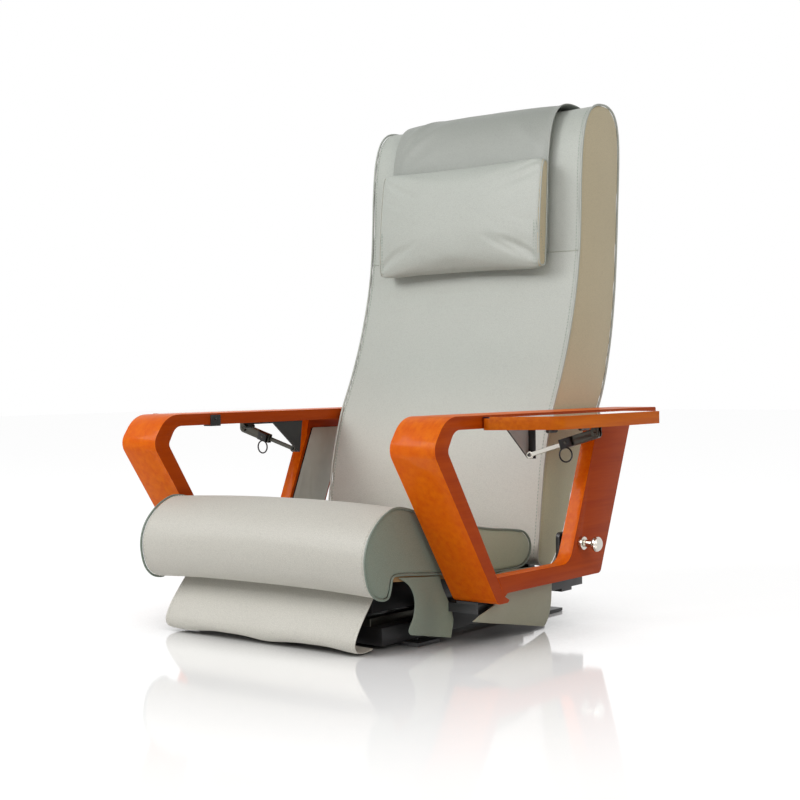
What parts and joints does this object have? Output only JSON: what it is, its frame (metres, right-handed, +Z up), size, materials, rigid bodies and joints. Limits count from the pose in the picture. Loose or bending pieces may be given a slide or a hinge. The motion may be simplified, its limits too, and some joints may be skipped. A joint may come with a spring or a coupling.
{
  "type": "air massage chair",
  "caption": "Reclining padded massage chair on sliding rails, with bent-wood arms that lift and drop-leaf side trays on folding stays.",
  "frame": {"origin": "on the floor, at the centre of the base's four bolt holes", "axes": "+Z up, -Y the way the sitter faces, +X the sitter's left"},
  "size_m": [0.987, 0.848, 1.0065],
  "materials": {
    "black_steel": "satin",
    "steel": "satin",
    "nickel": "satin",
    "rubber": "matt",
    "plywood": "matt",
    "air_cell": "matt",
    "cushion": "grained leather over foam",
    "leather": "grained",
    "side_leather": "grained",
    "black_plastic": "satin",
    "aluminium": "satin",
    "wood": "gloss lacquer",
    "inlay": "gloss"
  },
  "bodies": {
    "base": {"base_frame": "black_steel", "guide_rails": "steel", "slide_actuator_body": "steel"},
    "carriage": {"carriage_frame": "black_steel", "slide_blocks": "steel", "slide_actuator_rod": "nickel", "foot_pads": "rubber", "seat_pan": "plywood", "seat_air_cells": "air_cell", "seat_cushion": "cushion", "side_ledge_left": "side_leather", "side_ledge_right": "side_leather", "front_skirt": "leather", "side_flap_left": "leather", "side_flap_right": "leather", "rear_skirt_left": "side_leather", "rear_skirt_right": "side_leather", "air_pump": "black_plastic", "valve_block": "black_plastic", "air_hoses": "air_cell", "control_box": "black_plastic", "back_hinge_pins": "nickel", "arm_pivot_bolts": "nickel", "actuator_pin": "nickel"},
    "recline_actuator": {"recline_actuator_body": "aluminium", "recline_motor": "black_plastic"},
    "recline_rod": {"recline_actuator_rod": "nickel"},
    "back": {"back_frame": "black_steel", "crank_pin": "nickel", "back_shell": "black_plastic", "back_air_cells": "air_cell", "back_cushion": "cushion", "head_flap": "leather"},
    "pillow": {"head_pillow": "cushion"},
    "arm_left": {"arm_left": "wood", "arm_bracket_left": "black_steel", "arm_bushing_left": "nickel", "tray_hinge_left": "black_steel", "stay_bracket_left": "steel"},
    "tray_left": {"tray_leaf_left": "wood", "tray_inlay_left": "inlay", "tray_lugs_left": "steel"},
    "stay_bar_left": {"stay_bar_left": "nickel"},
    "stay_sleeve_left": {"stay_sleeve_left": "steel"},
    "stay_catch_left": {"stay_catch_left": "black_steel"},
    "lock_knob_left": {"lock_knob_left": "nickel"},
    "arm_right": {"arm_right": "wood", "arm_bracket_right": "black_steel", "arm_bushing_right": "nickel", "tray_hinge_right": "black_steel", "stay_bracket_right": "steel"},
    "tray_right": {"tray_leaf_right": "wood", "tray_inlay_right": "inlay", "tray_lugs_right": "steel"},
    "stay_bar_right": {"stay_bar_right": "nickel"},
    "stay_sleeve_right": {"stay_sleeve_right": "steel"},
    "stay_catch_right": {"stay_catch_right": "black_steel"},
    "lock_knob_right": {"lock_knob_right": "nickel"}
  },
  "joints": [
    {"name": "seat_slide", "type": "slide", "parent": "base", "child": "carriage", "axis": [0, -1, 0], "range_m": [0, 0.1]},
    {"name": "back_recline", "type": "hinge", "parent": "carriage", "child": "back", "pos_m": [0, 0.172, 0.078], "axis": [-1, 0, 0], "range_deg": [0, 35]},
    {"name": "recline_swing", "type": "hinge", "parent": "carriage", "child": "recline_actuator", "pos_m": [0, -0.1, 0.058], "axis": [1, 0, 0], "range_deg": [0, 1.5]},
    {"name": "recline_stroke", "type": "slide", "parent": "recline_actuator", "child": "recline_rod", "axis": [0, -0.994, 0.1096], "range_m": [0, 0.0305]},
    {"name": "pillow_height", "type": "slide", "parent": "back", "child": "pillow", "axis": [0, 0.0599, 0.9982], "range_m": [0, 0.06]},
    {"name": "arm_lift_left", "type": "hinge", "parent": "carriage", "child": "arm_left", "pos_m": [0, 0.148, 0.105], "axis": [-1, 0, 0], "range_deg": [0, 60]},
    {"name": "tray_fold_left", "type": "hinge", "parent": "arm_left", "child": "tray_left", "pos_m": [0.373, 0.062, 0.3597], "axis": [0, 1, 0], "range_deg": [0, 75]},
    {"name": "stay_swing_left", "type": "hinge", "parent": "arm_left", "child": "stay_bar_left", "pos_m": [0.294, 0.062, 0.3125], "axis": [0, 1, 0], "range_deg": [0, 27]},
    {"name": "sleeve_swing_left", "type": "hinge", "parent": "tray_left", "child": "stay_sleeve_left", "pos_m": [0.4345, 0.062, 0.354], "axis": [0, -1, 0], "range_deg": [0, 49.5]},
    {"name": "catch_pull_left", "type": "hinge", "parent": "stay_sleeve_left", "child": "stay_catch_left", "pos_m": [0.37504, 0.0547, 0.33644], "axis": [0, 1, 0], "range_deg": [0, 20], "stiffness_Nm_per_rad": 0.2},
    {"name": "knob_pull_left", "type": "slide", "parent": "arm_left", "child": "lock_knob_left", "axis": [1, 0, 0], "range_m": [0, 0.01], "stiffness_N_per_m": 800},
    {"name": "arm_lift_right", "type": "hinge", "parent": "carriage", "child": "arm_right", "pos_m": [0, 0.148, 0.105], "axis": [-1, 0, 0], "range_deg": [0, 60]},
    {"name": "tray_fold_right", "type": "hinge", "parent": "arm_right", "child": "tray_right", "pos_m": [-0.373, 0.062, 0.3597], "axis": [0, -1, 0], "range_deg": [0, 75]},
    {"name": "stay_swing_right", "type": "hinge", "parent": "arm_right", "child": "stay_bar_right", "pos_m": [-0.294, 0.062, 0.3125], "axis": [0, -1, 0], "range_deg": [0, 27]},
    {"name": "sleeve_swing_right", "type": "hinge", "parent": "tray_right", "child": "stay_sleeve_right", "pos_m": [-0.4345, 0.062, 0.354], "axis": [0, 1, 0], "range_deg": [0, 49.5]},
    {"name": "catch_pull_right", "type": "hinge", "parent": "stay_sleeve_right", "child": "stay_catch_right", "pos_m": [-0.37504, 0.0547, 0.33644], "axis": [0, -1, 0], "range_deg": [0, 20], "stiffness_Nm_per_rad": 0.2},
    {"name": "knob_pull_right", "type": "slide", "parent": "arm_right", "child": "lock_knob_right", "axis": [-1, 0, 0], "range_m": [0, 0.01], "stiffness_N_per_m": 800}
  ],
  "couplings": [
    {"joint": "recline_swing", "follows": "back_recline", "ratio": 0.0389},
    {"joint": "recline_stroke", "follows": "back_recline", "m_per_rad": 0.0488},
    {"joint": "stay_swing_left", "follows": "tray_fold_left", "ratio": 0.35},
    {"joint": "sleeve_swing_left", "follows": "tray_fold_left", "ratio": 0.65},
    {"joint": "stay_swing_right", "follows": "tray_fold_right", "ratio": 0.35},
    {"joint": "sleeve_swing_right", "follows": "tray_fold_right", "ratio": 0.65}
  ]
}
